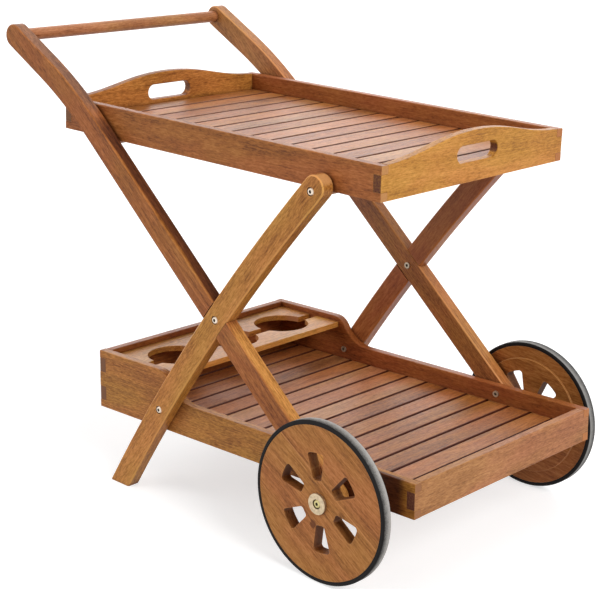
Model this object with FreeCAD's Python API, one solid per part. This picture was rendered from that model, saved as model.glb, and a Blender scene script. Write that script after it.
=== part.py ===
import FreeCAD, Part
import math
import os

# Tea trolley with a lift-off tray. Millimetres.
# X runs along the length, from the handle to the wheels. Y runs across. Z is up from the floor.
# The origin is on the floor, under the middle of the overall length and width.

# Driving dimensions
board_thickness = 15.0
board_edge_ease = 1.2

tray_length = 700.0
tray_leg_clearance = 2.0
tray_side_height = 53.0
tray_arch_height = 79.0
tray_arch_bend = 46.0
tray_bottom_z = 590.0
tray_centre_from_crossing = -45.0
tray_slat_above_bar = 3.5
hand_slot_length = 100.0
hand_slot_height = 26.0
hand_slot_centre = 44.0

shelf_length = 700.0
shelf_width = 454.0
shelf_high_side = 101.5
shelf_low_side = 55.0
shelf_step_length = 84.0
shelf_step_top_radius = 31.0
shelf_wheel_end_z = 134.0
shelf_centre_from_crossing = 47.0
shelf_slope = 1.7
shelf_slat_top = 25.0

slat_count = 15
slat_gap = 4.0
slat_thickness = 10.0
slat_housing = 6.0

rack_below_rim = 9.5
rack_thickness = 10.0
rack_rear_width = 73.0
rack_slit = 19.0
rack_front_width = 54.0
rack_housing = 5.0
rack_past_step = 12.0
bottle_radius = 50.0
bottle_spacing = 131.0
bottle_centre = 91.0

leg_width = 39.5
leg_thickness = 24.0
leg_edge_ease = 2.0
crossing_below_tray = 242.5
front_leg_angle = 53.75
front_leg_radius = 3730.0
front_leg_beyond_rest = 8.0
handle_leg_angle = 40.9
handle_grip_angle = 28.5
handle_bend_radius = 700.0
handle_bend_above_tray = 66.0
handle_grip_length = 168.0
shelf_bolt_front_rise = 27.0
shelf_bolt_rear_rise = 34.5
shelf_bolt_rear_offset = 12.4

bar_radius = 10.5
handle_bar_housing = 14.0
rest_bar_housing = 10.0

wheel_radius = 128.0
tyre_thickness = 6.5
tyre_width = 18.0
tyre_edge_ease = 2.0
tyre_stretch = 0.2
disc_thickness = 17.0
disc_boss_step = 21.0
disc_boss_thickness = 3.5
disc_to_leg = 4.5
window_count = 6
window_inner_radius = 35.5
window_outer_radius = 78.5
window_span = 25.0
window_phase_near = 37.0
window_phase_far = 53.5
window_corner = 5.0

bush_wall = 2.0
bush_flange_radius = 10.0
bush_press = 0.05
axle_radius = 4.0
running_clearance = 0.05
washer_radius = 16.5
washer_thickness = 4.0
washer_floor = 1.2
hub_end_play = 0.2
axle_head_radius = 6.5
axle_head_height = 2.2
axle_head_clearance = 1.2

bolt_radius = 3.0
bolt_head_radius = 6.0
bolt_head_height = 3.0
bolt_head_clearance = 1.0
bolt_tip_gap = 6.0
rest_bolt_grip = 36.0
nut_flange_radius = 5.5
nut_flange_thickness = 2.0
nut_barrel_radius = 4.0
nut_barrel_length = 10.0
nut_end_wall = 1.0
socket_radius = 2.9
socket_depth = 2.0

wood_clearance = 0.3
lap_clearance = 0.2

# How far a cutting shape runs past the face it cuts, and how closely two places count as one
overcut = 1.0
same_place = 0.01

# Derived sizes
tray_width = shelf_width - 2 * tray_leg_clearance
tray_slat_top = bar_radius + tray_slat_above_bar + slat_thickness
half_tray = tray_width / 2
half_shelf = shelf_width / 2
leg_inner_y = half_shelf
leg_outer_y = half_shelf + leg_thickness
lap_y = leg_inner_y + leg_thickness / 2
half_leg = leg_width / 2
rack_top = shelf_high_side - rack_below_rim
shelf_step_start = board_thickness + rack_rear_width + rack_slit + rack_front_width - rack_past_step
disc_inner_y = leg_outer_y + disc_to_leg
disc_step_y = disc_inner_y + disc_boss_thickness
disc_outer_y = disc_step_y + disc_thickness
disc_radius = wheel_radius - tyre_thickness
disc_boss_radius = disc_radius - disc_boss_step
bush_bore = axle_radius + running_clearance
bush_radius = bush_bore + bush_wall
bush_flange_thickness = disc_to_leg - hub_end_play
bolt_hole_radius = nut_barrel_radius + wood_clearance
bar_socket_radius = bar_radius + wood_clearance

# Derived places. The crossing is set so that the origin is under the middle of the overall length.
steep = math.radians(handle_leg_angle)
flat = math.radians(handle_grip_angle)
crossing_z = tray_bottom_z - crossing_below_tray
handle_bend_z = tray_bottom_z + handle_bend_above_tray


# How far from the crossing the handle leg's centre line is, at a height.
def handle_leg_run(z):
    return (crossing_z - z) / math.tan(steep)


handle_end = handle_leg_run(handle_bend_z) - handle_grip_length * math.cos(flat) - half_leg
shelf_wheel_end = shelf_centre_from_crossing + shelf_length / 2
wheel_end = max(shelf_wheel_end, handle_leg_run(wheel_radius) + wheel_radius)
crossing_x = -(handle_end + wheel_end) / 2
shelf_wheel_end_x = crossing_x + shelf_wheel_end
tray_start = crossing_x + tray_centre_from_crossing - tray_length / 2
tray_end = tray_start + tray_length
shelf_bolt_front_z = shelf_wheel_end_z + shelf_bolt_front_rise
shelf_bolt_rear_z = shelf_wheel_end_z + shelf_bolt_rear_rise

Vec = FreeCAD.Vector
across = Vec(0, 1, 0)
up = Vec(0, 0, 1)

os.makedirs("parts", exist_ok=True)


def save(name, *shapes):
    solids = [solid for shape in shapes for solid in shape.Solids]
    shape = solids[0] if len(solids) == 1 else Part.makeCompound(solids)
    shape.exportStep("parts/" + name + ".step")


def mirrored(shape):
    return shape.mirror(Vec(0, 0, 0), across)


def save_pair(name, near_shape):
    save(name + "_near", near_shape)
    save(name + "_far", mirrored(near_shape))


def save_group(name, *near_shapes):
    save(name, *near_shapes, *[mirrored(shape) for shape in near_shapes])


def block(x0, x1, y0, y1, z0, z1):
    return Part.makeBox(x1 - x0, y1 - y0, z1 - z0, Vec(x0, y0, z0))


def rod(radius, x, z, y0, y1):
    return Part.makeCylinder(radius, y1 - y0, Vec(x, y0, z), across)


def cut_all(shape, tools):
    for tool in tools:
        shape = shape.cut(tool)
    return shape.removeSplitter()


def arc(start, middle, end):
    return Part.Arc(start, middle, end).toShape()


def line(start, end):
    return Part.makeLine(start, end)


def solid_from(edges, depth):
    return Part.Face(Part.Wire(edges)).extrude(depth)


def ease_edges(shape, size, chosen):
    edges = [edge for edge in shape.Edges if chosen(edge)]
    return shape.makeChamfer(size, edges).Solids[0]


# Point at an angle on a circle in the XZ plane.
def on_circle(centre, radius, angle):
    return centre + Vec(radius * math.cos(angle), 0, radius * math.sin(angle))


# Box joints: which share of the height each finger takes, from the bottom up.
three_fingers = (0.0, 0.25, 0.75, 1.0)
five_fingers = (0.0, 0.125, 0.375, 0.625, 0.875, 1.0)


def finger_blocks(fingers, height, first, x0, x1, y0, y1):
    bounds = list(zip(fingers[:-1], fingers[1:]))[first::2]
    return [block(x0, x1, y0, y1, low * height, high * height) for low, high in bounds]


# Slats across a box of the given inner length, in the box's own frame.
def make_slats(start_x, inner_length, width, top):
    pitch = inner_length / slat_count
    reach = width / 2 - board_thickness + slat_housing
    slats = []
    for index in range(slat_count):
        x0 = start_x + index * pitch + slat_gap / 2
        slat = block(x0, x0 + pitch - slat_gap, -reach, reach, top - slat_thickness, top)
        slats.append(ease_edges(slat, board_edge_ease, lambda edge: is_long_top(edge, top)))
    return slats


def is_long_top(edge, top):
    return edge.BoundBox.ZMin > top - same_place and edge.BoundBox.XLength < same_place


def slat_groove(x0, x1, width, top):
    wall = width / 2 - board_thickness
    return block(x0, x1, -wall - slat_housing, -wall, top - slat_thickness, top)


# Lift-off tray, built with its bottom at z = 0 and then raised
tray_inner_start = tray_start + board_thickness
tray_inner_end = tray_end - board_thickness
tray_lift = Vec(0, 0, tray_bottom_z)


def make_tray_side():
    board = block(tray_start, tray_end, -half_tray, board_thickness - half_tray, 0, tray_side_height)
    board = ease_edges(
        board,
        board_edge_ease,
        lambda edge: edge.BoundBox.ZMin > tray_side_height - same_place
        and edge.BoundBox.YLength < same_place,
    )
    tools = [slat_groove(tray_inner_start, tray_inner_end, tray_width, tray_slat_top)]
    for x0, x1 in ((tray_start, tray_inner_start), (tray_inner_end, tray_end)):
        tools += finger_blocks(three_fingers, tray_side_height, 1, x0, x1, -half_tray, half_tray)
    for rest in (front_rest, rear_rest):
        tools.append(rod(bar_socket_radius, rest.x, 0, -half_tray - overcut, half_tray + overcut))
    return cut_all(board, tools)


# The arch is a level top and level ends joined by a slope, with each bend rounded by an arc.
def make_tray_end(x0):
    x1 = x0 + board_thickness
    low = tray_side_height
    rise = tray_arch_height - low
    turn = math.atan2(rise, half_tray - 2 * tray_arch_bend)
    radius = tray_arch_bend / math.tan(turn / 2)

    def at(y, z):
        return Vec(x0, y, z)

    def on_crown(angle):
        return at(radius * math.sin(angle), tray_arch_height - radius * (1 - math.cos(angle)))

    def on_flank(side, angle):
        return at(side * (half_tray - radius * math.sin(angle)), low + radius * (1 - math.cos(angle)))

    edges = [
        line(at(-half_tray, 0), at(half_tray, 0)),
        line(at(half_tray, 0), on_flank(1, 0)),
        arc(on_flank(1, 0), on_flank(1, turn / 2), on_flank(1, turn)),
        line(on_flank(1, turn), on_crown(turn)),
        arc(on_crown(turn), on_crown(0), on_crown(-turn)),
        line(on_crown(-turn), on_flank(-1, turn)),
        arc(on_flank(-1, turn), on_flank(-1, turn / 2), on_flank(-1, 0)),
        line(on_flank(-1, 0), at(-half_tray, 0)),
    ]
    board = solid_from(edges, Vec(board_thickness, 0, 0))
    board = ease_edges(
        board,
        board_edge_ease,
        lambda edge: edge.BoundBox.ZMin > low - same_place and edge.BoundBox.XLength < same_place,
    )
    slot_half = hand_slot_length / 2 - hand_slot_height / 2
    slot = block(
        x0 - overcut,
        x1 + overcut,
        -slot_half,
        slot_half,
        hand_slot_centre - hand_slot_height / 2,
        hand_slot_centre + hand_slot_height / 2,
    )
    for side in (-1, 1):
        start = Vec(x0 - overcut, side * slot_half, hand_slot_centre)
        depth = board_thickness + 2 * overcut
        slot = slot.fuse(Part.makeCylinder(hand_slot_height / 2, depth, start, Vec(1, 0, 0)))
    board = board.cut(slot.removeSplitter())
    board = ease_edges(board, board_edge_ease, is_slot_edge)
    tools = []
    for y0, y1 in ((-half_tray, board_thickness - half_tray), (half_tray - board_thickness, half_tray)):
        tools += finger_blocks(three_fingers, low, 0, x0, x1, y0, y1)
        tools.append(block(x0, x1, y0, y1, low, tray_arch_height))
    return cut_all(board, tools)


def is_slot_edge(edge):
    box = edge.BoundBox
    across_slot = max(abs(box.YMin), abs(box.YMax)) < hand_slot_length / 2 + same_place
    up_slot = max(abs(box.ZMin - hand_slot_centre), abs(box.ZMax - hand_slot_centre))
    return across_slot and up_slot < hand_slot_height / 2 + same_place and box.XLength < same_place


# Lower shelf, built level with its wheel end at x = 0 and then set on its slope
shelf_inner_start = board_thickness - shelf_length
shelf_inner_end = -board_thickness
shelf_wall = half_shelf - board_thickness


def set_shelf(shape):
    placed = shape.copy()
    placed.rotate(Vec(0, 0, 0), across, -shelf_slope)
    placed.translate(Vec(shelf_wheel_end_x, 0, shelf_wheel_end_z))
    return placed


# The S-curve is a convex and a concave arc that meet on one slope.
def make_shelf_side():
    drop = shelf_high_side - shelf_low_side
    high_x = shelf_step_start - shelf_length
    low_x = high_x + shelf_step_length
    turn = 2 * math.atan(drop / shelf_step_length)
    low_radius = (shelf_step_length**2 + drop**2) / (2 * drop) - shelf_step_top_radius

    def at(x, z):
        return Vec(x, -half_shelf, z)

    def high_arc(angle):
        return at(
            high_x + shelf_step_top_radius * math.sin(angle),
            shelf_high_side - shelf_step_top_radius * (1 - math.cos(angle)),
        )

    def low_arc(angle):
        return at(low_x - low_radius * math.sin(angle), shelf_low_side + low_radius * (1 - math.cos(angle)))

    edges = [
        line(at(-shelf_length, 0), at(0, 0)),
        line(at(0, 0), at(0, shelf_low_side)),
        line(at(0, shelf_low_side), low_arc(0)),
        arc(low_arc(0), low_arc(turn / 2), low_arc(turn)),
        arc(low_arc(turn), high_arc(turn / 2), high_arc(0)),
        line(high_arc(0), at(-shelf_length, shelf_high_side)),
        line(at(-shelf_length, shelf_high_side), at(-shelf_length, 0)),
    ]
    board = solid_from(edges, Vec(0, board_thickness, 0))
    board = ease_edges(
        board,
        board_edge_ease,
        lambda edge: edge.BoundBox.ZMin > shelf_low_side - same_place
        and edge.BoundBox.YLength < same_place
        and edge.BoundBox.XLength > same_place,
    )
    tools = [slat_groove(shelf_inner_start, shelf_inner_end, shelf_width, shelf_slat_top)]
    tools += finger_blocks(
        five_fingers, shelf_high_side, 1, -shelf_length, shelf_inner_start, -half_shelf, half_shelf
    )
    tools += finger_blocks(three_fingers, shelf_low_side, 1, shelf_inner_end, 0, -half_shelf, half_shelf)
    rack_bottom = rack_top - rack_thickness
    for x0, x1 in rack_spans:
        tools.append(block(x0, x1, -shelf_wall - rack_housing, -shelf_wall, rack_bottom, rack_top))
    return cut_all(board, tools)


def make_shelf_end(x0, height, fingers):
    x1 = x0 + board_thickness
    board = block(x0, x1, -half_shelf, half_shelf, 0, height)
    board = ease_edges(
        board,
        board_edge_ease,
        lambda edge: edge.BoundBox.ZMin > height - same_place and edge.BoundBox.XLength < same_place,
    )
    tools = []
    for y0, y1 in ((-half_shelf, -shelf_wall), (shelf_wall, half_shelf)):
        tools += finger_blocks(fingers, height, 0, x0, x1, y0, y1)
    return cut_all(board, tools)


rack_rear_end = shelf_inner_start + rack_rear_width
rack_front_start = rack_rear_end + rack_slit
rack_spans = (
    (shelf_inner_start, rack_rear_end),
    (rack_front_start, rack_front_start + rack_front_width),
)
bottle_x = bottle_centre - shelf_length


def make_rack_board(x0, x1):
    reach = shelf_wall + rack_housing
    board = block(x0, x1, -reach, reach, rack_top - rack_thickness, rack_top)
    holes = [
        Part.makeCylinder(bottle_radius, rack_thickness, Vec(bottle_x, y, rack_top - rack_thickness), up)
        for y in (-bottle_spacing, 0, bottle_spacing)
    ]
    return cut_all(board, holes)


# Legs: flat curved bars on the near side, outside the shelf's side board
crossing = Vec(crossing_x, 0, crossing_z)
front_turn = math.radians(front_leg_angle)
front_centre = crossing + Vec(math.sin(front_turn), 0, -math.cos(front_turn)) * front_leg_radius


def on_front_leg(z):
    x = front_centre.x - math.sqrt(front_leg_radius**2 - (z - front_centre.z) ** 2)
    return Vec(x, 0, z)


def on_handle_leg(z):
    return Vec(crossing_x + handle_leg_run(z), 0, z)


foot = on_front_leg(0)
front_rest = on_front_leg(tray_bottom_z)
shelf_bolt_front = on_front_leg(shelf_bolt_front_z)
rear_rest = on_handle_leg(tray_bottom_z)
axle = on_handle_leg(wheel_radius)
handle_bend = on_handle_leg(handle_bend_z)
along_leg = Vec(-math.cos(steep), 0, math.sin(steep))
along_grip = Vec(-math.cos(flat), 0, math.sin(flat))
handle_bar = handle_bend + along_grip * handle_grip_length
shelf_bolt_rear = on_handle_leg(shelf_bolt_rear_z) + Vec(shelf_bolt_rear_offset, 0, 0)


def front_angle(point):
    return math.atan2(point.z - front_centre.z, point.x - front_centre.x)


# The front leg follows one large circle, from its level foot to its round top.
def make_front_leg(half_width):
    outside = front_leg_radius + half_width
    inside = front_leg_radius - half_width
    high = front_angle(front_rest) - front_leg_beyond_rest / front_leg_radius
    middle = (front_angle(foot) + high) / 2
    cap = on_circle(front_centre, front_leg_radius, high)
    cap_tip = on_circle(cap, half_width, high - math.pi / 2)

    def at(radius, angle):
        return on_circle(front_centre, radius, angle)

    def on_floor(radius):
        return at(radius, math.pi + math.asin(front_centre.z / radius))

    return [
        arc(on_floor(outside), at(outside, middle), at(outside, high)),
        arc(at(outside, high), cap_tip, at(inside, high)),
        arc(at(inside, high), at(inside, middle), on_floor(inside)),
        line(on_floor(inside), on_floor(outside)),
    ]


# The handle leg is straight, then bends to the flatter grip end.
def make_handle_leg(half_width):
    leg_normal = Vec(math.sin(steep), 0, math.cos(steep))
    grip_normal = Vec(math.sin(flat), 0, math.cos(flat))
    tangent = handle_bend_radius * math.tan((steep - flat) / 2)
    bend_start = handle_bend - along_leg * tangent
    bend_end = handle_bend + along_grip * tangent
    bend_centre = bend_start - leg_normal * handle_bend_radius
    bend_normal = leg_normal + grip_normal
    bend_normal.normalize()
    upper_bend = bend_centre + bend_normal * (handle_bend_radius + half_width)
    lower_bend = bend_centre + bend_normal * (handle_bend_radius - half_width)
    leg_side = leg_normal * half_width
    grip_side = grip_normal * half_width
    return [
        line(axle + leg_side, bend_start + leg_side),
        arc(bend_start + leg_side, upper_bend, bend_end + grip_side),
        line(bend_end + grip_side, handle_bar + grip_side),
        arc(handle_bar + grip_side, handle_bar + along_grip * half_width, handle_bar - grip_side),
        line(handle_bar - grip_side, bend_end - grip_side),
        arc(bend_end - grip_side, lower_bend, bend_start - leg_side),
        line(bend_start - leg_side, axle - leg_side),
        arc(axle - leg_side, axle - along_leg * half_width, axle + leg_side),
    ]


def leg_solid(edges, y0, y1):
    leg = solid_from(edges, Vec(0, y1 - y0, 0))
    leg.translate(Vec(0, y0, 0))
    return leg


def whole_leg(make_edges):
    leg = leg_solid(make_edges(half_leg), -leg_outer_y, -leg_inner_y)
    return ease_edges(
        leg,
        leg_edge_ease,
        lambda edge: edge.BoundBox.YLength < same_place and edge.BoundBox.ZMax > leg_edge_ease,
    )


def lap_tool(make_edges, y0, y1):
    return leg_solid(make_edges(half_leg + lap_clearance), y0, y1)


# Through hole with a recess for the head on the outer face
def bolt_hole(point):
    start = -leg_outer_y - overcut
    through = rod(bolt_hole_radius, point.x, point.z, start, overcut - shelf_wall)
    recess_radius = bolt_head_radius + bolt_head_clearance
    recess = rod(recess_radius, point.x, point.z, start, bolt_head_height - leg_outer_y)
    return through.fuse(recess)


def bar_socket(point, depth):
    return rod(bar_socket_radius, point.x, point.z, -leg_inner_y - depth, overcut - leg_inner_y)


front_leg = cut_all(
    whole_leg(make_front_leg),
    [
        lap_tool(make_handle_leg, -lap_y, overcut - leg_inner_y),
        bolt_hole(crossing),
        bolt_hole(shelf_bolt_front),
        bolt_hole(front_rest),
        bar_socket(front_rest, rest_bar_housing),
    ],
)
axle_hole = rod(bolt_hole_radius, axle.x, axle.z, -leg_outer_y - overcut, -leg_inner_y)
nut_recess_radius = nut_flange_radius + 2 * wood_clearance
axle_nut_y = -leg_inner_y - nut_flange_thickness
axle_recess = rod(nut_recess_radius, axle.x, axle.z, axle_nut_y, overcut - leg_inner_y)
handle_leg = cut_all(
    whole_leg(make_handle_leg),
    [
        lap_tool(make_front_leg, -leg_outer_y - overcut, -lap_y),
        bolt_hole(crossing),
        bolt_hole(shelf_bolt_rear),
        bar_socket(rear_rest, rest_bar_housing),
        bar_socket(handle_bar, handle_bar_housing),
        axle_hole,
        axle_recess,
    ],
)
save_pair("front_leg", front_leg)
save_pair("handle_leg", handle_leg)

save_pair("tray_side_board", make_tray_side().translated(tray_lift))
save("tray_end_board_handle", make_tray_end(tray_start).translated(tray_lift))
save("tray_end_board_wheel", make_tray_end(tray_inner_end).translated(tray_lift))
tray_slats = make_slats(tray_inner_start, tray_inner_end - tray_inner_start, tray_width, tray_slat_top)
for number, slat in enumerate(tray_slats, 1):
    save("tray_slat_%02d" % number, slat.translated(tray_lift))

shelf_side = set_shelf(make_shelf_side())
for point in (shelf_bolt_front, shelf_bolt_rear):
    hole = rod(bolt_hole_radius, point.x, point.z, -half_shelf - overcut, overcut - shelf_wall)
    shelf_side = shelf_side.cut(hole)
save_pair("shelf_side_board", shelf_side)
save("shelf_end_board_handle", set_shelf(make_shelf_end(-shelf_length, shelf_high_side, five_fingers)))
save("shelf_end_board_wheel", set_shelf(make_shelf_end(shelf_inner_end, shelf_low_side, three_fingers)))
shelf_slats = make_slats(shelf_inner_start, shelf_inner_end - shelf_inner_start, shelf_width, shelf_slat_top)
for number, slat in enumerate(shelf_slats, 1):
    save("shelf_slat_%02d" % number, set_shelf(slat))
for name, span in zip(("rear", "front"), rack_spans):
    save("bottle_rack_%s_board" % name, set_shelf(make_rack_board(*span)))

# Round bars between the legs
bar_reach = leg_inner_y + rest_bar_housing
front_rest_bar = rod(bar_radius, front_rest.x, front_rest.z, -bar_reach, bar_reach)
bore_end = rest_bolt_grip - leg_outer_y
end_bore = rod(bolt_radius + wood_clearance, front_rest.x, front_rest.z, -bar_reach - overcut, bore_end)
save("tray_rest_bar_front", front_rest_bar.cut(end_bore).cut(mirrored(end_bore)))
save("tray_rest_bar_rear", rod(bar_radius, rear_rest.x, rear_rest.z, -bar_reach, bar_reach))
grip_reach = leg_inner_y + handle_bar_housing
save("handle_bar", rod(bar_radius, handle_bar.x, handle_bar.z, -grip_reach, grip_reach))


# Wheels
def make_window(angle):
    depth = disc_outer_y - disc_inner_y + 2 * overcut
    start = Vec(axle.x, -disc_outer_y - overcut, axle.z)
    wedge = Part.makeCylinder(window_outer_radius, depth, start, across, window_span)
    wedge = wedge.cut(Part.makeCylinder(window_inner_radius, depth, start, across))
    corners = [edge for edge in wedge.Edges if edge.BoundBox.YLength > depth - same_place]
    wedge = wedge.makeFillet(window_corner, corners).Solids[0]
    middle = wedge.CenterOfMass - start
    turn = math.degrees(math.atan2(middle.z, middle.x)) - angle
    wedge.rotate(start, across, turn)
    return wedge


def make_disc(window_phase):
    disc = rod(disc_radius, axle.x, axle.z, -disc_outer_y, -disc_step_y)
    disc = disc.fuse(rod(disc_boss_radius, axle.x, axle.z, -disc_step_y, -disc_inner_y))
    bush_hole = rod(bush_radius - bush_press, axle.x, axle.z, -disc_outer_y - overcut, overcut - disc_inner_y)
    windows = [make_window(window_phase + index * 360.0 / window_count) for index in range(window_count)]
    return cut_all(disc, [bush_hole] + windows)


# The wheels stand at rest with their windows turned differently.
save("wheel_disc_near", make_disc(window_phase_near))
save("wheel_disc_far", mirrored(make_disc(window_phase_far)))

tyre_middle = -disc_outer_y + disc_thickness / 2
tyre = rod(wheel_radius, axle.x, axle.z, tyre_middle - tyre_width / 2, tyre_middle + tyre_width / 2)
tyre = tyre.cut(rod(disc_radius - tyre_stretch, axle.x, axle.z, -disc_outer_y - tyre_width, 0))
tyre = ease_edges(
    tyre,
    tyre_edge_ease,
    lambda edge: edge.BoundBox.YLength < same_place and edge.BoundBox.XLength > 2 * wheel_radius - same_place,
)
save_pair("tyre", tyre)

bush = rod(bush_radius, axle.x, axle.z, -disc_outer_y, -disc_inner_y)
bush = bush.fuse(
    rod(bush_flange_radius, axle.x, axle.z, -disc_inner_y, bush_flange_thickness - disc_inner_y)
)
bush = bush.cut(rod(bush_bore, axle.x, axle.z, -disc_outer_y - overcut, 0)).removeSplitter()
save_pair("wheel_bush", bush)


# Fasteners, drawn without threads
def hex_socket(point, y0, y1):
    start = Vec(point.x, y0, point.z)
    corners = [on_circle(start, socket_radius, index * math.pi / 3) for index in range(7)]
    return Part.Face(Part.makePolygon(corners)).extrude(Vec(0, y1 - y0, 0))


def bolt_head(radius, height, point, y_under):
    y_face = y_under - height
    head = rod(radius, point.x, point.z, y_face, y_under)
    head = ease_edges(head, height / 2, lambda edge: edge.BoundBox.YMax < y_face + same_place)
    return head.cut(hex_socket(point, y_face - overcut, y_face + socket_depth))


def make_bolt(point, y_tip):
    y_under = bolt_head_height - leg_outer_y
    head = bolt_head(bolt_head_radius, bolt_head_height, point, y_under)
    return head.fuse(rod(bolt_radius, point.x, point.z, y_under, y_tip)).removeSplitter()


def make_nut(point, y_seat):
    y_face = y_seat + nut_flange_thickness
    y_end = y_seat - nut_barrel_length
    flange = rod(nut_flange_radius, point.x, point.z, y_seat, y_face)
    barrel = rod(nut_barrel_radius, point.x, point.z, y_end, y_seat)
    socket = hex_socket(point, y_face - socket_depth, y_face + overcut)
    bore = rod(bolt_radius + wood_clearance, point.x, point.z, y_end, y_face - socket_depth - nut_end_wall)
    return flange.fuse(barrel).removeSplitter().cut(bore).cut(socket)


save_group("crossing_bolts", make_bolt(crossing, -leg_inner_y - bolt_tip_gap))
save_group(
    "shelf_bolts",
    make_bolt(shelf_bolt_front, -shelf_wall - bolt_tip_gap),
    make_bolt(shelf_bolt_rear, -shelf_wall - bolt_tip_gap),
)
save_group("rest_bar_bolts", make_bolt(front_rest, bore_end - bolt_tip_gap))
save_group(
    "sleeve_nuts",
    make_nut(crossing, -leg_inner_y),
    make_nut(shelf_bolt_front, -shelf_wall),
    make_nut(shelf_bolt_rear, -shelf_wall),
    make_nut(axle, axle_nut_y),
)

# The hub washer is dished, and the axle bolt's head sits in the dish.
washer_inner_y = disc_outer_y + hub_end_play
washer_seat_y = washer_inner_y + washer_floor
washer_outer_y = washer_inner_y + washer_thickness
dish_radius = axle_head_radius + axle_head_clearance
washer = rod(washer_radius, axle.x, axle.z, -washer_outer_y, -washer_inner_y)
washer = washer.cut(rod(dish_radius, axle.x, axle.z, -washer_outer_y - overcut, -washer_seat_y))
washer = washer.cut(rod(axle_radius + wood_clearance, axle.x, axle.z, -washer_outer_y, -washer_inner_y))
save_group("hub_washers", washer)

axle_bolt = bolt_head(axle_head_radius, axle_head_height, axle, -washer_seat_y)
axle_bolt = axle_bolt.fuse(rod(axle_radius, axle.x, axle.z, -washer_seat_y, -leg_outer_y))
axle_bolt = axle_bolt.fuse(rod(bolt_radius, axle.x, axle.z, -leg_outer_y, axle_nut_y - bolt_tip_gap))
save_group("axle_bolts", axle_bolt.removeSplitter())
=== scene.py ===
import math
import random

import bpy
from mathutils import Matrix, Vector


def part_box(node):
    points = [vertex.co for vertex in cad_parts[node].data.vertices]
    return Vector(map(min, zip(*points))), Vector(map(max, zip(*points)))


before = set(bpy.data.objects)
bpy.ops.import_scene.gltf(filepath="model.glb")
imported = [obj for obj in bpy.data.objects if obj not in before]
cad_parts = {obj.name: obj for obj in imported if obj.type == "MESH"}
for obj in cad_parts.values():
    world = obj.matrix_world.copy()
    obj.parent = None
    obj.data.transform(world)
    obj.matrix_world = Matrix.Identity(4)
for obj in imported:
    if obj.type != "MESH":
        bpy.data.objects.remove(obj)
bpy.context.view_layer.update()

# Camera: angles, metres and the photograph's pixels
camera_azimuth = math.radians(42.57)
camera_elevation = math.radians(15.48)
camera_roll = math.radians(1.76)
camera_distance = 2.6884
camera_target = Vector((0.0083, 0, 0.4))
focal_pixels = 1587.9
image_width = 600
image_height = 589
centre_pixel_x = 298.85
centre_pixel_y = 252.95

# Studio: each lamp's direction, strength and width in degrees, then the world and the floor
lamps = (
    ("key", (0.78, -0.06, 0.62), 2.15, 32),
    ("top", (-0.1, 0.2, 1.0), 0.75, 80),
    ("front", (-0.65, -0.85, 0.5), 1.0, 40),
    ("back", (-0.65, 0.71, 0.30), 1.1, 50),
)
ambient_level = 0.24
floor_half_width = 20
floor_level = 0.60
floor_speckle = 0.02
floor_speckle_rate = 60
floor_glow = 0.60
floor_roughness = 0.9

# The object's own directions and leans
length_way = Vector((1, 0, 0))
width_way = Vector((0, 1, 0))
up_way = Vector((0, 0, 1))
shelf_slope = math.radians(1.7)
handle_leg_lean = math.radians(180 - 40.9)
front_leg_lean = math.radians(53.75)
wheel_grain_near = math.radians(-33)
wheel_grain_far = math.radians(-6)

# Sanded edges, in metres, and which edges count
board_edge = 0.0008
slat_edge = 0.0026
leg_edge = 0.0016
wheel_edge = 0.0022
tyre_edge = 0.0008
edge_segments = 2
edge_angle = math.radians(32)
flat_angle = math.radians(0.5)
weld_distance = 0.00002

# Wood colours from dark grain to pale grain, linear
golden_tones = ((0.190, 0.060, 0.007), (0.500, 0.210, 0.034), (0.720, 0.350, 0.085))
straw_tones = ((0.190, 0.060, 0.010), (0.500, 0.210, 0.043), (0.720, 0.350, 0.100))
honey_tones = ((0.150, 0.043, 0.007), (0.430, 0.166, 0.042), (0.600, 0.270, 0.088))
amber_tones = ((0.120, 0.033, 0.006), (0.360, 0.128, 0.030), (0.540, 0.235, 0.075))
russet_tones = ((0.120, 0.031, 0.005), (0.360, 0.120, 0.027), (0.540, 0.220, 0.066))
tan_tones = ((0.140, 0.044, 0.013), (0.380, 0.155, 0.056), (0.560, 0.265, 0.115))
mahogany_tones = ((0.080, 0.018, 0.004), (0.300, 0.086, 0.020), (0.460, 0.165, 0.048))
# Heartwood tones also colour the painted wheel shadow on the near shelf board.
heartwood_and_shadow_tones = ((0.040, 0.010, 0.004), (0.130, 0.038, 0.012), (0.260, 0.085, 0.030))
umber_tones = ((0.070, 0.020, 0.007), (0.220, 0.080, 0.028), (0.380, 0.150, 0.058))
sapwood_tones = ((0.260, 0.090, 0.016), (0.620, 0.275, 0.064), (0.800, 0.420, 0.140))
tone_stops = (0.08, 0.50, 0.92)

# Casts that a board's colour wanders between
red_cast = (1.03, 0.94, 1.00, 1)
yellow_cast = (0.99, 1.03, 0.90, 1)

# End grain colours, linear
dark_end = (0.090, 0.024, 0.018, 1)
brown_end = (0.190, 0.090, 0.050, 1)
tan_end = (0.300, 0.132, 0.062, 1)
amber_end = (0.490, 0.195, 0.073, 1)
pale_end = (0.545, 0.262, 0.092, 1)

# Painted shade colours, linear, for gaps, steps, inner corners and sockets
corner_and_gap_shade = (0.085, 0.020, 0.006, 1)
shelf_gap_shade = (0.055, 0.007, 0.001, 1)
socket_shade = (0.020, 0.016, 0.012, 1)

# Rubber and metal colours, linear
rubber_face = (0.005, 0.004, 0.004, 1)
dusty_tread = (0.440, 0.420, 0.395, 1)
worn_tread = (0.290, 0.280, 0.268, 1)
brass = (0.600, 0.520, 0.240, 1)
pale_brass = (0.600, 0.480, 0.320, 1)
pale_plate = (0.780, 0.660, 0.540, 1)
dull_plate = (0.560, 0.490, 0.380, 1)
bush_steel = (0.560, 0.550, 0.530, 1)

# Marks in wood: how many come in a metre, along the grain and across it
wander_rate = (2.2, 7)
band_rate = (1.6, 34)
fibre_rate = (7, 520)
figure_rate = (95, 400)
stripe_rate = (3, 180)
mottle_rate = (11, 20)
pore_rate = (50, 1000)
warmth_rate = (5, 15)
fleck_rate = (60, 330)

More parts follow.
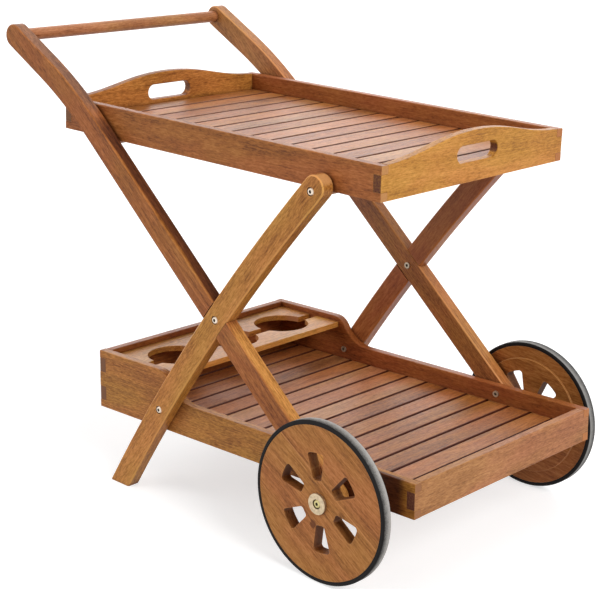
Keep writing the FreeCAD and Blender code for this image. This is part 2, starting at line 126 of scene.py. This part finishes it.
# How far the grain's wander bends each mark, across the board and through it
band_bend = (2.2, 1.4)
fibre_bend = (25, 0)
stripe_bend = (20, 12)

# Growth rings: how fast they come across the board and through it, and what bends them
ring_rate = (420, 230)
ring_wander = 70
ring_band_wander = 9

# Noise levels between which pores and casts come in
pore_turn = (0.58, 0.70)
cast_turn = (0.36, 0.64)

# The farthest that a board's grain is shifted, in metres
shift_reach = 9

# How much each mark moves the tone, which runs from 0 for dark grain to 1 for pale grain
band_level = 0.48
fibre_level = 0.60
mottle_level = 0.45
figure_level = 1.15
ring_level = 0.03
pore_level = 0.12

# Worn edges with a painted highlight: close to a sharp edge, and on the slanted strip of a sanded one
wear_and_highlight_radius = 0.003
wear_and_highlight_turn = (0.02, 0.25)
arris_start = (0.15, 0.40)
arris_end = (0.75, 0.97)

# Faces, by how squarely they look along a direction
top_face_turn = (0.60, 0.95)
side_face_turn = (0.50, 0.90)
end_face_turn = (0.75, 0.95)

# End grain: how much of its colour shows, and how much that varies
end_share = 0.86
end_fleck = 0.90

# Knots, streaks, the painted wheel shadow, glue lines, and painted shade in gaps, steps and corners
knot_bend = 1.5
knot_fade = (0.3, 1.0)
streak_and_shadow_bend = 2.5
streak_and_shadow_side_fade = (0.6, 1.0)
streak_and_shadow_end_fade = (0.8, 1.0)
glue_join = 0.0001
glue_step = 3.7
glue_line_fade = (0.0003, 0.0014)
glue_share = 0.6
glue_paleness = 1.1
unshaded_fade = 0.004
corner_reach = 0.010
corner_turn = (0.40, 0.80)
corner_shade = 0.6

# Wood's gloss and relief
plain_sheen = 0.22
rack_sheen = 0.38
slat_sheen = 0.36
far_leg_sheen = 0.35
bar_sheen = 0.28
wood_roughness = 0.46
fibre_roughness = 0.25
pore_roughness = 0.14
end_roughness = 0.20
worn_polish = 0.06
fibre_height = 0.6
band_height = 0.3
pore_depth = 0.9
wood_bump = 0.22
bump_depth = 0.0004

# Marks on single pieces, in metres, among them the painted wheel shadow on the near shelf board and the
# reach of the painted shade round a wheel's hub
shelf_wheel_shadow_back = 0.12
shelf_wheel_shadow_half_length = 0.105
shelf_wheel_shadow_half_width = 0.006
glue_line_from_hub = 0.032
hub_shade_radius = 0.085

# Knots of a wheel: place from the hub, radius and depth of tone
wheel_knots = (((-0.009, -0.036), 0.008, 0.45), ((0.046, -0.005), 0.010, 0.25))

# Stretches inside the near handle leg: middle from the crossing, half length and tones
leg_stretches = ((-0.21, 0.20, sapwood_tones), (0.20, 0.22, heartwood_and_shadow_tones), (0.60, 0.20, umber_tones))

# Where those stretches lie in the leg's thickness, as shares of it
leg_stretch_middle = 0.55
leg_stretch_half_width = 0.56

# Slats: the range of their shades, how much darker the tray's are, the painted shade in their gaps and the
# seed of the draw
slat_shades = (-0.17, 0.08)
tray_slat_darkening = 0.03
slat_painted_shade_faces = (0.90, 0.995)
slat_painted_shade_level = 0.97
slat_draw = 4

# First seeds of the grain
board_seed = 11
slat_seed = 40
bar_seed = 100
wheel_seed = 120

# Rubber
tread_grime_rate = 110
tread_grit_rate = 800
tread_grime_level = 0.45
tread_grit_level = 0.60
tread_least_scuff = 0.08
tread_inward_scuff_and_reflection = 0.95
flank_turn = (0.25, 0.60)
rubber_roughness = 0.6
grit_roughness = 0.25
grime_height = 0.5
rubber_bump = 0.35
rubber_sheen = 0.2

# Plated metal
stain_rate = 160
stain_turn = (0.35, 0.70)
stain_share = 0.6
stain_darkness = 0.5
stain_dullness = 0.18
turning_rate = 2400
turning_bump = 0.15
turning_depth = 0.0002
socket_reach = 0.004
socket_turn = (0.50, 0.85)
socket_share = 0.95
socket_dullness = 0.8


class Wire:
    """A node's output, for shader maths written as Python expressions."""

    def __init__(self, nodes, socket):
        self.nodes = nodes
        self.socket = socket

    def math(self, operation, *values):
        return self.nodes.node("ShaderNodeMath", {"operation": operation}, dict(enumerate(values)))

    def __add__(self, other):
        return self.math("ADD", self, other)

    def __radd__(self, other):
        return self.math("ADD", other, self)

    def __sub__(self, other):
        return self.math("SUBTRACT", self, other)

    def __rsub__(self, other):
        return self.math("SUBTRACT", other, self)

    def __mul__(self, other):
        return self.math("MULTIPLY", self, other)

    def __rmul__(self, other):
        return self.math("MULTIPLY", other, self)

    def __truediv__(self, other):
        return self.math("DIVIDE", self, other)

    def __abs__(self):
        return self.math("ABSOLUTE", self)

    def sine(self):
        return self.math("SINE", self)

    def along(self, way):
        settings = {"operation": "DOT_PRODUCT"}
        return self.nodes.node("ShaderNodeVectorMath", settings, {0: self, 1: way}, "Value")

    def distance(self, spot):
        settings = {"operation": "DISTANCE"}
        return self.nodes.node("ShaderNodeVectorMath", settings, {0: self, 1: spot}, "Value")

    def between(self, low, high):
        settings = {"interpolation_type": "SMOOTHSTEP"}
        sockets = {"Value": self, "From Min": low, "From Max": high}
        return self.nodes.node("ShaderNodeMapRange", settings, sockets)


class Nodes:
    """A node tree, with one method that adds nodes."""

    def __init__(self, tree):
        self.tree = tree

    def node(self, kind, settings=None, sockets=None, output=0):
        added = self.tree.nodes.new(kind)
        for key, value in (settings or {}).items():
            if key == "stops":
                set_stops(added.color_ramp, value)
            else:
                setattr(added, key, value)
        for key, value in (sockets or {}).items():
            self.feed(added.inputs[key], value)
        return Wire(self, added.outputs[output])

    def feed(self, socket, value):
        if isinstance(value, Wire):
            self.tree.links.new(value.socket, socket)
        else:
            socket.default_value = value

    def seen_or_mirrored(self):
        seen = self.node("ShaderNodeLightPath", output="Is Camera Ray")
        outputs = seen.socket.node.outputs
        for other in ("Is Glossy Ray", "Is Transmission Ray"):
            seen = seen.math("MAXIMUM", seen, Wire(self, outputs[other]))
        return seen


class Finish(Nodes):
    """One material."""

    def __init__(self, name):
        self.material = bpy.data.materials.new(name)
        self.material.use_nodes = True
        super().__init__(self.material.node_tree)
        self.shader = self.tree.nodes["Principled BSDF"]

    def surface(self, **values):
        for key, value in values.items():
            self.feed(self.shader.inputs[key.replace("_", " ")], value)
        return self.material

    def place(self):
        return self.node("ShaderNodeTexCoord", output="Object")

    def facing(self):
        return self.node("ShaderNodeTexCoord", output="Normal")

    def edges(self, radius):
        rounded = self.node("ShaderNodeBevel", {"samples": 4}, {"Radius": radius})
        return 1 - rounded.along(self.node("ShaderNodeNewGeometry", output="Normal"))

    def open_air(self, reach, **settings):
        return self.node("ShaderNodeAmbientOcclusion", settings, {"Distance": reach}, "AO")

    def point(self, x, y, z):
        return self.node("ShaderNodeCombineXYZ", sockets={"X": x, "Y": y, "Z": z})

    def noise(self, place, scale=1.0, detail=3.0, roughness=0.55):
        sockets = {"Vector": place, "Scale": scale, "Detail": detail, "Roughness": roughness}
        return self.node("ShaderNodeTexNoise", sockets=sockets)

    def mix(self, share, first, second, blend="MIX"):
        settings = {"data_type": "RGBA", "blend_type": blend}
        return self.node("ShaderNodeMix", settings, {0: share, 6: first, 7: second}, 2)

    def tint(self, tone, tones):
        stops = [(place, opaque(colour)) for place, colour in zip(tone_stops, tones)]
        return self.node("ShaderNodeValToRGB", {"stops": stops}, {"Fac": tone})

    def bump(self, height, strength, distance):
        sockets = {"Height": height, "Strength": strength, "Distance": distance}
        return self.node("ShaderNodeBump", sockets=sockets)


class Board(Finish):
    """Wood with its grain along one direction, or two such boards with a glue line between them."""

    def __init__(self, name, along, seed, glue_line):
        super().__init__(name)
        chance = random.Random(seed)
        self.way = along
        self.across = width_way if abs(along.y) < 0.5 else length_way
        self.shift = [chance.uniform(-shift_reach, shift_reach) for _ in range(3)]
        self.spot = self.place()
        self.normal = self.facing()
        through_place = self.spot.along(along.cross(self.across))
        self.u = self.spot.along(along) + self.shift[0]
        self.v = self.spot.along(self.across) + self.shift[1]
        self.w = through_place + self.shift[2]
        if glue_line is not None:
            self.past_line = through_place - glue_line
            self.u = self.u + self.past_line.between(-glue_join, glue_join) * glue_step
        self.wander = self.marks(wander_rate, detail=2) - 0.5
        self.bands = self.marks(band_rate, detail=4, bend=band_bend) - 0.5
        self.fibre = self.marks(fibre_rate, roughness=0.6, bend=fibre_bend) - 0.5
        self.pore = self.marks(pore_rate, detail=1).between(*pore_turn)
        self.end = abs(self.normal.along(along)).between(*end_face_turn)

    def marks(self, rate, detail=3.0, roughness=0.55, bend=None):
        lengthwise, crosswise = rate
        across = self.v * crosswise
        through = self.w * crosswise
        if bend:
            across = across + self.wander * bend[0]
            through = through + self.wander * bend[1]
        place = self.point(self.u * lengthwise, across, through)
        return self.noise(place, detail=detail, roughness=roughness)

    def grain(self, stripe_level):
        figure = self.marks(figure_rate, roughness=0.75) - 0.5
        stripes = self.marks(stripe_rate, detail=2, bend=stripe_bend) - 0.5
        mottle = self.marks(mottle_rate, detail=2) - 0.5
        depth = self.v * ring_rate[0] + self.w * ring_rate[1]
        rings = (depth + self.wander * ring_wander + self.bands * ring_band_wander).sine()
        coarse = self.bands * band_level + self.fibre * fibre_level + mottle * mottle_level
        return coarse + figure * figure_level + stripes * stripe_level + rings * ring_level

    # Pale edges and arrises: partly wear, partly a painted highlight.
    def wear_and_highlight(self, arris_way):
        rounded = self.edges(wear_and_highlight_radius).between(*wear_and_highlight_turn)
        if not arris_way:
            return rounded
        flatness = abs(self.normal.along(arris_way))
        return rounded + flatness.between(*arris_start) * (1 - flatness.between(*arris_end))

    def top_faces(self):
        return self.normal.along(up_way).between(*top_face_turn)

    def side_faces(self):
        return 1 - abs(self.normal.along(self.across)).between(*side_face_turn)

    def knot(self, centre, radius, depth):
        from_centre = self.spot.distance(centre) / radius + self.bands * knot_bend
        return depth * (1 - from_centre.between(*knot_fade))

    def coloured(self, tone, tones):
        warmth = self.marks(warmth_rate, detail=2).between(*cast_turn)
        cast = self.mix(warmth, yellow_cast, red_cast)
        return self.mix(1.0, self.tint(tone, tones), cast, "MULTIPLY")

    # A band along the grain, for streaks and for the painted wheel shadow.
    def streak_and_shadow_mask(self, centre, half_length, half_width):
        from_middle = self.v - (centre.dot(self.across) + self.shift[1])
        beside = abs(from_middle + self.wander * (half_width * streak_and_shadow_bend)) / half_width
        beyond = abs(self.u - (centre.dot(self.way) + self.shift[0])) / half_length
        return (1 - beside.between(*streak_and_shadow_side_fade)) * (1 - beyond.between(*streak_and_shadow_end_fade))

    def ends(self):
        fleck = self.marks(fleck_rate, roughness=0.7) - 0.5
        return self.end * (end_share + fleck * end_fleck)

    # Painted shade on faces that don't look along a way, within a radius if one is given.
    def dirt_and_painted_shade(self, unshaded_way, faces, unshaded_beyond):
        shaded = 1 - abs(self.normal.along(unshaded_way)).between(*faces)
        if not unshaded_beyond:
            return shaded
        middle, radius = unshaded_beyond
        return shaded * (1 - self.spot.distance(middle).between(radius, radius + unshaded_fade))


def set_stops(ramp, stops):
    while len(ramp.elements) < len(stops):
        ramp.elements.new(0.5)
    for element, (position, colour) in zip(ramp.elements, stops):
        element.position = position
        element.color = colour


def opaque(colour, level=1.0):
    return (*(part * level for part in colour), 1)


def lean_way(angle):
    return Vector((math.cos(angle), 0, math.sin(angle)))


# Oiled hardwood. A shade above 0 is paler, and a contrast of 1 is plain grain.
# Edges turn pale, partly from wear and partly as a painted highlight, and so do strips that slant to
# arris_way. Faces that look up can be darkened with painted shade.
# The side setting adds painted shade to the tone of faces that don't look across the grain.
# A glue line is given by its place through the board. A knot has its centre, radius and depth of tone.
# A streak has its centre, half length, half width and tones; so has the painted wheel shadow on the near
# shelf board.
# Faces that don't look along the unshaded way get painted shade, such as the walls of slat gaps and a
# wheel's step round its hub, but not past the point and radius given for that.
# Inner corners get painted shade on every board.
def wood(
    name,
    tones,
    along,
    seed,
    shade=0.0,
    contrast=1.0,
    stripe_level=0.2,
    end_grain=dark_end,
    sheen=plain_sheen,
    wear_and_highlight_level=0.15,
    arris_way=None,
    top_painted_shade=0.0,
    side_painted_shade=0.0,
    glue_line=None,
    knots=(),
    streaks_and_shadows=(),
    unshaded_way=None,
    unshaded_beyond=None,
    painted_shade_level=0.8,
    painted_shade_colour=corner_and_gap_shade,
    painted_shade_faces=(0.80, 0.98),
):
    board = Board(name, along, seed, glue_line)
    # Paler edges, partly wear and partly a painted highlight.
    wear_and_highlight = board.wear_and_highlight(arris_way)
    tone = 0.5 + shade + board.grain(stripe_level) * contrast - board.pore * pore_level + wear_and_highlight * wear_and_highlight_level
    # Painted shade on faces that look up.
    if top_painted_shade:
        tone = tone - board.top_faces() * top_painted_shade
    # Painted shade on faces that don't look across the grain.
    if side_painted_shade:
        tone = tone + board.side_faces() * side_painted_shade
    for knot in knots:
        tone = tone - board.knot(*knot)
    colour = board.coloured(tone, tones)
    for *where, streak_and_shadow_tones in streaks_and_shadows:
        colour = board.mix(board.streak_and_shadow_mask(*where), colour, board.tint(tone, streak_and_shadow_tones))
    colour = board.mix(board.ends(), colour, end_grain)
    if glue_line is not None:
        line = 1 - abs(board.past_line).between(*glue_line_fade)
        colour = board.mix(line * glue_share, colour, opaque(tones[2], glue_paleness))
    # Painted shade on the walls of gaps and steps.
    if unshaded_way:
        dirt_and_painted_shade = board.dirt_and_painted_shade(unshaded_way, painted_shade_faces, unshaded_beyond)
        colour = board.mix(dirt_and_painted_shade * painted_shade_level, colour, painted_shade_colour)
    # Painted shade in inner corners, from ambient occlusion.
    corner = 1 - board.open_air(corner_reach, samples=4).between(*corner_turn)
    roughness = wood_roughness + board.fibre * fibre_roughness + board.pore * pore_roughness
    height = board.fibre * fibre_height + board.bands * band_height - board.pore * pore_depth
    return board.surface(
        Base_Color=board.mix(corner * corner_shade, colour, painted_shade_colour),
        Roughness=roughness + board.end * end_roughness - wear_and_highlight * worn_polish,
        Normal=board.bump(height, wood_bump, bump_depth),
        Specular_IOR_Level=sheen,
    )


# Solid rubber: black on its flanks, scuffed grey where it rolls and palest along the tread's inner edge,
# which is partly scuffing and partly a painted reflection.
def rubber(name, tread, outer_face, inner_face):
    finish = Finish(name)
    place = finish.place()
    dirt_and_painted_shade = finish.noise(place, tread_grime_rate, detail=4, roughness=0.7)
    grit = finish.noise(place, tread_grit_rate, detail=2, roughness=0.7)
    flank = abs(finish.facing().along(width_way)).between(*flank_turn)
    # The tread pales inward: partly scuffing, partly a painted reflection.
    inward = (outer_face - abs(place.along(width_way))) / (outer_face - inner_face)
    inward_scuff_and_reflection = tread_least_scuff + inward * tread_inward_scuff_and_reflection
    dust = (dirt_and_painted_shade - 0.5) * tread_grime_level
    specks = (grit - 0.5) * tread_grit_level
    scuff_and_reflection = (1 - flank) * (inward_scuff_and_reflection + dust + specks)
    return finish.surface(
        Base_Color=finish.mix(scuff_and_reflection.between(0.0, 1.0), rubber_face, tread),
        Roughness=rubber_roughness + grit * grit_roughness,
        Normal=finish.bump(grit + dirt_and_painted_shade * grime_height, rubber_bump, bump_depth),
        Specular_IOR_Level=rubber_sheen,
    )


# Plated metal with fine turning marks and duller patches, and painted shade inside its sockets.
def plating(name, colour, dullness):
    finish = Finish(name)
    place = finish.place()
    stain = finish.noise(place, stain_rate, detail=4)
    marks = finish.noise(place, turning_rate, detail=2)
    stained = opaque(colour[:3], stain_darkness)
    tint = finish.mix(stain.between(*stain_turn) * stain_share, colour, stained)
    # Painted shade inside the sockets.
    dirt_and_painted_shade = 1 - finish.open_air(socket_reach, samples=8, only_local=True).between(*socket_turn)
    return finish.surface(
        Base_Color=finish.mix(dirt_and_painted_shade * socket_share, tint, socket_shade),
        Metallic=1 - dirt_and_painted_shade * socket_dullness,
        Roughness=dullness + stain * stain_dullness,
        Normal=finish.bump(marks, turning_bump, turning_depth),
    )


# Rounds a node's edges a little, as sanding does.
def soften(node, width):
    weld = node.modifiers.new("weld", "WELD")
    weld.merge_threshold = weld_distance
    flat = node.modifiers.new("flat faces", "DECIMATE")
    flat.decimate_type = "DISSOLVE"
    flat.angle_limit = flat_angle
    bevel = node.modifiers.new("sanded edges", "BEVEL")
    bevel.width = width
    bevel.segments = edge_segments
    bevel.limit_method = "ANGLE"
    bevel.angle_limit = edge_angle
    normals = node.modifiers.new("normals", "WEIGHTED_NORMAL")
    normals.keep_sharp = False


def dress(name, material, edge=0.0):
    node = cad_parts[name]
    node.data.materials.clear()
    node.data.materials.append(material)
    if edge:
        soften(node, edge)


def node_names(start):
    return sorted(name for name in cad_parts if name.startswith(start))


def box_middle(name):
    low, high = map(Vector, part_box(name))
    return (low + high) / 2


# Each board has its tones, grain direction, shade, end grain and painted shade on top.
def dress_boards():
    shelf_way = lean_way(shelf_slope)
    boards = (
        ("tray_side_board_near", russet_tones, length_way, -0.03, pale_end, 0.15),
        ("tray_side_board_far", mahogany_tones, length_way, 0.10, amber_end, 0.1),
        ("tray_end_board_handle", straw_tones, width_way, -0.14, brown_end, 0.3),
        ("tray_end_board_wheel", golden_tones, width_way, 0.05, dark_end, 0.2),
        ("shelf_side_board_near", straw_tones, shelf_way, -0.15, tan_end, 0.0),
        ("shelf_side_board_far", mahogany_tones, shelf_way, 0.03, amber_end, 0.0),
        ("shelf_end_board_handle", mahogany_tones, width_way, 0.0, brown_end, 0.0),
        ("shelf_end_board_wheel", tan_tones, width_way, 0.0, dark_end, 0.0),
        ("bottle_rack_rear_board", golden_tones, width_way, -0.10, amber_end, 0.0),
        # The front rack board's raised shade is painted light: it brightens the board where the tray shades
        # it.
        ("bottle_rack_front_board", golden_tones, width_way, 0.10, amber_end, 0.08),
    )
    # Painted shadow of the wheel on the near shelf board, in heartwood tones.
    low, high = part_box("shelf_side_board_near")
    wheel_end = Vector((high[0], low[1], high[2]))
    middle = wheel_end - shelf_way * shelf_wheel_shadow_back
    painted_wheel_shadow = (middle, shelf_wheel_shadow_half_length, shelf_wheel_shadow_half_width, heartwood_and_shadow_tones)
    streaks_and_shadows = {"shelf_side_board_near": [painted_wheel_shadow]}
    for seed, (name, tones, along, shade, end_grain, top_painted_shade) in enumerate(boards, board_seed):
        material = wood(
            name,
            tones,
            along,
            seed,
            shade,
            end_grain=end_grain,
            sheen=rack_sheen if name.startswith("bottle_rack") else plain_sheen,
            top_painted_shade=top_painted_shade,
            streaks_and_shadows=streaks_and_shadows.get(name, ()),
        )
        dress(name, material, board_edge)


def dress_slats():
    chance = random.Random(slat_draw)
    slats = [(name, tray_slat_darkening, corner_and_gap_shade) for name in node_names("tray_slat")]
    slats += [(name, 0.0, shelf_gap_shade) for name in node_names("shelf_slat")]
    for seed, (name, darkening, painted_shade_colour) in enumerate(slats, slat_seed):
        shade = chance.uniform(*slat_shades) - darkening
        tones = chance.choice((amber_tones, amber_tones, tan_tones))
        material = wood(
            name,
            tones,
            width_way,
            seed,
            shade,
            stripe_level=0.5,
            sheen=slat_sheen,
            # Painted shade on the walls of the gaps between slats.
            unshaded_way=up_way,
            painted_shade_level=slat_painted_shade_level,
            painted_shade_colour=painted_shade_colour,
            painted_shade_faces=slat_painted_shade_faces,
        )
        dress(name, material, slat_edge)


# Behind its outer face the near handle leg is sapwood up to the crossing, then heartwood, then umber.
def handle_leg_streaks(name):
    low, high = map(Vector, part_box(name))
    along = lean_way(handle_leg_lean)
    crossing = box_middle("crossing_bolts")
    thickness = high.y - low.y
    inner_wood = width_way * (low.y + thickness * leg_stretch_middle)
    half_width = thickness * leg_stretch_half_width
    return [
        (crossing + along * middle + inner_wood, half_length, half_width, tones)
        for middle, half_length, tones in leg_stretches
    ]


# Each leg has its tones, grain direction, seed, shade, wear and painted highlight on its arrises and what
# else is its own.
def dress_legs():
    front_way = lean_way(front_leg_lean)
    handle_way = lean_way(handle_leg_lean)
    # The near front leg's faces that don't look across the grain get painted shade.
    pale_ends_and_shaded_sides = {"end_grain": pale_end, "side_painted_shade": -0.12}
    glossy = {"sheen": far_leg_sheen}
    striped = {"stripe_level": 0.65, "streaks_and_shadows": handle_leg_streaks("handle_leg_near")}
    legs = (
        ("front_leg_near", straw_tones, front_way, 80, 0.0, 0.6, pale_ends_and_shaded_sides),
        ("front_leg_far", mahogany_tones, front_way, 81, 0.15, 0.6, glossy),
        ("handle_leg_near", russet_tones, handle_way, 90, -0.06, 0.1, striped),
        ("handle_leg_far", honey_tones, handle_way, 91, -0.08, 0.6, glossy),
    )
    for name, tones, along, seed, shade, wear_and_highlight_level, own in legs:
        material = wood(
            name,
            tones,
            along,
            seed,
            shade,
            wear_and_highlight_level=wear_and_highlight_level,
            arris_way=width_way,
            **own,
        )
        dress(name, material, leg_edge)


def dress_bars():
    bars = ("handle_bar", "tray_rest_bar_front", "tray_rest_bar_rear")
    for seed, name in enumerate(bars, bar_seed):
        dress(name, wood(name, tan_tones, width_way, seed, shade=0.06, sheen=bar_sheen))


def dress_wheels():
    discs = (
        ("wheel_disc_near", honey_tones, wheel_grain_near, -0.03),
        ("wheel_disc_far", amber_tones, wheel_grain_far, 0.05),
    )
    for seed, (name, tones, lean, shade) in enumerate(discs, wheel_seed):
        along = lean_way(lean)
        hub = box_middle(name)
        outer_face = max((corner[1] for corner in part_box(name)), key=abs)
        knots = [
            (Vector((hub.x + x, outer_face, hub.z + z)), radius, depth)
            for (x, z), radius, depth in wheel_knots
        ]
        material = wood(
            name,
            tones,
            along,
            seed,
            shade,
            contrast=0.85,
            stripe_level=0.9,
            end_grain=brown_end,
            wear_and_highlight_level=0.5,
            arris_way=width_way,
            glue_line=along.cross(width_way).dot(hub) + glue_line_from_hub,
            knots=knots,
            # Painted shade on the step walls round the hub.
            unshaded_way=width_way,
            unshaded_beyond=(hub, hub_shade_radius),
            painted_shade_level=0.4,
        )
        dress(name, material, wheel_edge)


def dress_tyres():
    low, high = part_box("tyre_far")
    for name, tread in (("tyre_near", dusty_tread), ("tyre_far", worn_tread)):
        dress(name, rubber(name, tread, high[1], low[1]), tyre_edge)


def dress_hardware():
    for name in ("crossing_bolts", "shelf_bolts", "rest_bar_bolts"):
        dress(name, plating(name, pale_plate, 0.26))
    dress("axle_bolts", plating("axle_bolts", brass, 0.28))
    dress("sleeve_nuts", plating("sleeve_nuts", dull_plate, 0.36))
    dress("hub_washers", plating("hub_washers", pale_brass, 0.34))
    steel = plating("bush_steel", bush_steel, 0.30)
    for name in node_names("wheel_bush"):
        dress(name, steel)


def add_camera():
    level = math.cos(camera_elevation)
    sideways = Vector((math.sin(camera_azimuth), -math.cos(camera_azimuth), 0))
    back = sideways * level + up_way * math.sin(camera_elevation)
    right = up_way.cross(back).normalized()
    upward = back.cross(right)
    turned_right = right * math.cos(camera_roll) + upward * math.sin(camera_roll)
    turned_up = upward * math.cos(camera_roll) - right * math.sin(camera_roll)
    data = bpy.data.cameras.new("camera")
    data.lens = focal_pixels / image_width * data.sensor_width
    data.shift_x = (image_width / 2 - centre_pixel_x) / image_width
    data.shift_y = (centre_pixel_y - image_height / 2) / image_width
    camera = bpy.data.objects.new("camera", data)
    camera.matrix_world = Matrix((turned_right, turned_up, back)).transposed().to_4x4()
    camera.location = camera_target + back * camera_distance
    bpy.context.scene.collection.objects.link(camera)
    bpy.context.scene.camera = camera


def add_floor():
    half = floor_half_width
    corners = [(-half, -half, 0), (half, -half, 0), (half, half, 0), (-half, half, 0)]
    mesh = bpy.data.meshes.new("floor")
    mesh.from_pydata(corners, [], [(0, 1, 2, 3)])
    floor = bpy.data.objects.new("floor", mesh)
    bpy.context.scene.collection.objects.link(floor)
    finish = Finish("pale_floor")
    speckle = finish.noise(finish.place(), floor_speckle_rate)
    white = (1, 1, 1)
    speck = opaque(white, floor_level - floor_speckle)
    glow = finish.seen_or_mirrored() * floor_glow
    finish.surface(
        Base_Color=finish.mix(speckle, speck, opaque(white, floor_level)),
        Roughness=floor_roughness,
        Emission_Color=finish.node("ShaderNodeCombineColor", sockets={0: glow, 1: glow, 2: glow}),
        Emission_Strength=1.0,
    )
    mesh.materials.append(finish.material)


def add_world():
    world = bpy.data.worlds.new("studio")
    world.use_nodes = True
    bpy.context.scene.world = world
    nodes = Nodes(world.node_tree)
    background = world.node_tree.nodes["Background"]
    nodes.feed(background.inputs["Color"], (1, 1, 1, 1))
    nodes.feed(background.inputs["Strength"], ambient_level + nodes.seen_or_mirrored() * (1 - ambient_level))


def add_lamp(name, toward, strength, spread):
    data = bpy.data.lights.new(name, "SUN")
    data.energy = strength
    data.angle = math.radians(spread)
    lamp = bpy.data.objects.new(name, data)
    lamp.rotation_euler = Vector(toward).to_track_quat("Z", "Y").to_euler()
    bpy.context.scene.collection.objects.link(lamp)


dress_boards()
dress_slats()
dress_legs()
dress_bars()
dress_wheels()
dress_tyres()
dress_hardware()
add_camera()
add_floor()
add_world()
for lamp in lamps:
    add_lamp(*lamp)
bpy.context.scene.view_settings.view_transform = "Standard"
